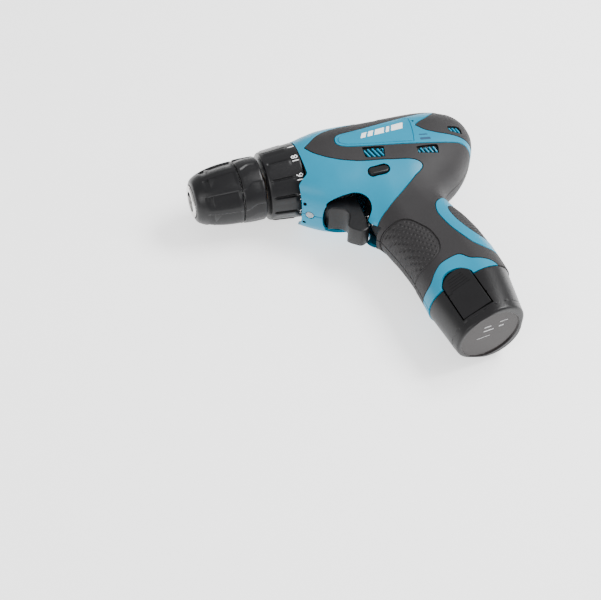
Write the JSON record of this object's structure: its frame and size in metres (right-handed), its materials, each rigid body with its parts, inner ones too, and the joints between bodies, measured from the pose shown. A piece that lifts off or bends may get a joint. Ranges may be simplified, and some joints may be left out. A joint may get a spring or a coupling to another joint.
{
  "type": "cordless drill driver",
  "caption": "Compact cordless drill driver with keyless three-jaw chuck, torque ring, two-speed gears and a push-in battery pack in the grip",
  "frame": {"origin": "under the middle of the tool, on the surface it lies on, with the tool lying on its right side", "axes": "+X along the spindle from the chuck to the rear, +Y towards the top of the tool, +Z towards its left side, which faces up"},
  "size_m": [0.189, 0.1836, 0.053],
  "materials": {
    "blue_plastic": "light cyan-blue moulded plastic, satin gloss",
    "soft_rubber": "charcoal soft rubber cover, matt",
    "black_plastic": "near-black moulded plastic, fine matt texture",
    "bright_steel": "turned steel",
    "dark_steel": "dark hardened steel",
    "sintered_bronze": "sintered bronze",
    "grey_polymer": "grey glass-filled polymer",
    "copper": "copper windings on a steel rotor",
    "clear_lens": "clear lamp lens",
    "cell_wrap": "shrink wrap on the cells",
    "label": "dark gloss label plate",
    "lead_red": "red insulated lead"
  },
  "bodies": {
    "housing": {"clutch_spring": "bright_steel", "clutch_washer": "bright_steel", "gear_case": "dark_steel", "housing_left": "blue_plastic", "housing_right": "blue_plastic", "housing_screw_1": "dark_steel", "housing_screw_2": "dark_steel", "housing_screw_3": "dark_steel", "housing_screw_4": "dark_steel", "housing_screw_5": "dark_steel", "lamp_lens": "clear_lens", "motor_bush_front": "sintered_bronze", "motor_bush_rear": "sintered_bronze", "motor_can": "bright_steel", "motor_end_bell": "black_plastic", "motor_lead_left": "lead_red", "motor_lead_right": "black_plastic", "ring_gear_1": "grey_polymer", "ring_gear_3": "grey_polymer", "soft_cover_left": "soft_rubber", "soft_cover_right": "soft_rubber", "spindle_bush_front": "sintered_bronze", "spindle_bush_rear": "sintered_bronze", "switch_body": "black_plastic", "terminal_block": "grey_polymer", "trigger_spring": "bright_steel"},
    "chuck": {"spindle": "bright_steel", "chuck_body": "bright_steel", "chuck_rear_collar": "black_plastic", "chuck_screw": "dark_steel"},
    "sleeve": {"chuck_front_sleeve": "black_plastic", "chuck_nut": "dark_steel"},
    "jaw_1": {"chuck_jaw_1": "dark_steel"},
    "jaw_2": {"chuck_jaw_2": "dark_steel"},
    "jaw_3": {"chuck_jaw_3": "dark_steel"},
    "torque_ring": {"torque_ring": "black_plastic"},
    "clutch_nut": {"clutch_nut": "dark_steel"},
    "carrier_1": {"planet_carrier_1": "dark_steel"},
    "carrier_2": {"planet_carrier_2": "dark_steel"},
    "armature": {"motor_armature": "copper"},
    "trigger": {"trigger": "black_plastic"},
    "reverse_button": {"reverse_button": "black_plastic"},
    "speed_slider": {"speed_slider": "black_plastic"},
    "shift_ring": {"ring_gear_2": "grey_polymer"},
    "battery": {"battery_case": "black_plastic", "battery_base": "label", "battery_cell_1": "cell_wrap", "battery_cell_2": "cell_wrap", "battery_cell_3": "cell_wrap"},
    "latch_left": {"battery_latch_left": "black_plastic"},
    "latch_right": {"battery_latch_right": "black_plastic"},
    "planet_1_1": {"planet_gear_1_1": "dark_steel"},
    "planet_1_2": {"planet_gear_1_2": "dark_steel"},
    "planet_1_3": {"planet_gear_1_3": "dark_steel"},
    "planet_2_1": {"planet_gear_2_1": "dark_steel"},
    "planet_2_2": {"planet_gear_2_2": "dark_steel"},
    "planet_2_3": {"planet_gear_2_3": "dark_steel"},
    "planet_3_1": {"planet_gear_3_1": "dark_steel"},
    "planet_3_2": {"planet_gear_3_2": "dark_steel"},
    "planet_3_3": {"planet_gear_3_3": "dark_steel"}
  },
  "joints": [
    {"name": "chuck_spin", "type": "hinge", "parent": "housing", "child": "chuck", "pos_m": [-0.0545, 0.0634, 0.0265], "axis": [1, 0, 0], "continuous": true},
    {"name": "sleeve_turn", "type": "hinge", "parent": "chuck", "child": "sleeve", "pos_m": [-0.0785, 0.0634, 0.0265], "axis": [1, 0, 0], "range_deg": [-1300, 720]},
    {"name": "jaw_1_slide", "type": "slide", "parent": "chuck", "child": "jaw_1", "axis": [0.9511, 0.309, 0], "range_m": [-0.01015, 0.00565]},
    {"name": "jaw_2_slide", "type": "slide", "parent": "chuck", "child": "jaw_2", "axis": [0.9511, -0.1545, 0.2676], "range_m": [-0.01015, 0.00565]},
    {"name": "jaw_3_slide", "type": "slide", "parent": "chuck", "child": "jaw_3", "axis": [0.9511, -0.1545, -0.2676], "range_m": [-0.01015, 0.00565]},
    {"name": "torque_ring_turn", "type": "hinge", "parent": "housing", "child": "torque_ring", "pos_m": [-0.0345, 0.0634, 0.0265], "axis": [1, 0, 0], "range_deg": [0, 291]},
    {"name": "clutch_nut_slide", "type": "slide", "parent": "housing", "child": "clutch_nut", "axis": [1, 0, 0], "range_m": [0, 0.0051], "deforming": ["clutch_spring"]},
    {"name": "carrier_2_spin", "type": "hinge", "parent": "housing", "child": "carrier_2", "pos_m": [-0.0095, 0.0634, 0.0265], "axis": [1, 0, 0], "continuous": true},
    {"name": "carrier_1_spin", "type": "hinge", "parent": "housing", "child": "carrier_1", "pos_m": [0, 0.0634, 0.0265], "axis": [1, 0, 0], "continuous": true},
    {"name": "armature_spin", "type": "hinge", "parent": "housing", "child": "armature", "pos_m": [0.0355, 0.0634, 0.0265], "axis": [1, 0, 0], "continuous": true},
    {"name": "planet_3_1_spin", "type": "hinge", "parent": "chuck", "child": "planet_3_1", "pos_m": [-0.0143, 0.0738, 0.0265], "axis": [1, 0, 0], "continuous": true},
    {"name": "planet_3_2_spin", "type": "hinge", "parent": "chuck", "child": "planet_3_2", "pos_m": [-0.0143, 0.0582, 0.0355], "axis": [1, 0, 0], "continuous": true},
    {"name": "planet_3_3_spin", "type": "hinge", "parent": "chuck", "child": "planet_3_3", "pos_m": [-0.0143, 0.0582, 0.0175], "axis": [1, 0, 0], "continuous": true},
    {"name": "planet_2_1_spin", "type": "hinge", "parent": "carrier_2", "child": "planet_2_1", "pos_m": [-0.00505, 0.0738, 0.0265], "axis": [1, 0, 0], "continuous": true},
    {"name": "planet_2_2_spin", "type": "hinge", "parent": "carrier_2", "child": "planet_2_2", "pos_m": [-0.00505, 0.0582, 0.0355], "axis": [1, 0, 0], "continuous": true},
    {"name": "planet_2_3_spin", "type": "hinge", "parent": "carrier_2", "child": "planet_2_3", "pos_m": [-0.00505, 0.0582, 0.0175], "axis": [1, 0, 0], "continuous": true},
    {"name": "planet_1_1_spin", "type": "hinge", "parent": "carrier_1", "child": "planet_1_1", "pos_m": [0.004, 0.07272, 0.0265], "axis": [1, 0, 0], "continuous": true},
    {"name": "planet_1_2_spin", "type": "hinge", "parent": "carrier_1", "child": "planet_1_2", "pos_m": [0.004, 0.05875, 0.03456], "axis": [1, 0, 0], "continuous": true},
    {"name": "planet_1_3_spin", "type": "hinge", "parent": "carrier_1", "child": "planet_1_3", "pos_m": [0.004, 0.05875, 0.01843], "axis": [1, 0, 0], "continuous": true},
    {"name": "trigger_pull", "type": "slide", "parent": "housing", "child": "trigger", "axis": [1, 0, 0], "range_m": [0, 0.006], "stiffness_N_per_m": 900, "springref_m": -0.002, "deforming": ["trigger_spring"]},
    {"name": "reverse_shift", "type": "slide", "parent": "housing", "child": "reverse_button", "axis": [0, 0, 1], "range_m": [-0.002, 0.002]},
    {"name": "speed_shift", "type": "slide", "parent": "housing", "child": "speed_slider", "axis": [-1, 0, 0], "range_m": [0, 0.003]},
    {"name": "shift_ring_slide", "type": "slide", "parent": "housing", "child": "shift_ring", "axis": [-1, 0, 0], "range_m": [0, 0.0031]},
    {"name": "battery_slide", "type": "slide", "parent": "housing", "child": "battery", "axis": [0.1197, -0.9928, 0], "range_m": [0, 0.055]},
    {"name": "latch_left_squeeze", "type": "hinge", "parent": "battery", "child": "latch_left", "pos_m": [0.03814, -0.08321, 0.04375], "axis": [-0.8766, -0.1057, -0.4695], "range_deg": [0, 5], "stiffness_Nm_per_rad": 0.4, "springref_deg": -1.15},
    {"name": "latch_right_squeeze", "type": "hinge", "parent": "battery", "child": "latch_right", "pos_m": [0.03814, -0.08321, 0.00925], "axis": [0.8766, 0.1057, -0.4695], "range_deg": [0, 5], "stiffness_Nm_per_rad": 0.4, "springref_deg": -1.15}
  ],
  "couplings": [
    {"joint": "jaw_1_slide", "follows": "sleeve_turn", "m_per_rad": 0.00044563},
    {"joint": "jaw_2_slide", "follows": "sleeve_turn", "m_per_rad": 0.00044563},
    {"joint": "jaw_3_slide", "follows": "sleeve_turn", "m_per_rad": 0.00044563},
    {"joint": "clutch_nut_slide", "follows": "torque_ring_turn", "m_per_rad": 0.00098},
    {"joint": "carrier_2_spin", "follows": "chuck_spin", "ratio": 3.5294},
    {"joint": "carrier_1_spin", "follows": "chuck_spin", "ratio": 12.457},
    {"joint": "armature_spin", "follows": "chuck_spin", "ratio": 62.284},
    {"joint": "planet_3_1_spin", "follows": "chuck_spin", "ratio": -3.3077},
    {"joint": "planet_3_2_spin", "follows": "chuck_spin", "ratio": -3.3077},
    {"joint": "planet_3_3_spin", "follows": "chuck_spin", "ratio": -3.3077},
    {"joint": "planet_2_1_spin", "follows": "chuck_spin", "ratio": -11.674},
    {"joint": "planet_2_2_spin", "follows": "chuck_spin", "ratio": -11.674},
    {"joint": "planet_2_3_spin", "follows": "chuck_spin", "ratio": -11.674},
    {"joint": "planet_1_1_spin", "follows": "chuck_spin", "ratio": -33.218},
    {"joint": "planet_1_2_spin", "follows": "chuck_spin", "ratio": -33.218},
    {"joint": "planet_1_3_spin", "follows": "chuck_spin", "ratio": -33.218},
    {"joint": "shift_ring_slide", "follows": "speed_shift", "ratio": 1}
  ]
}
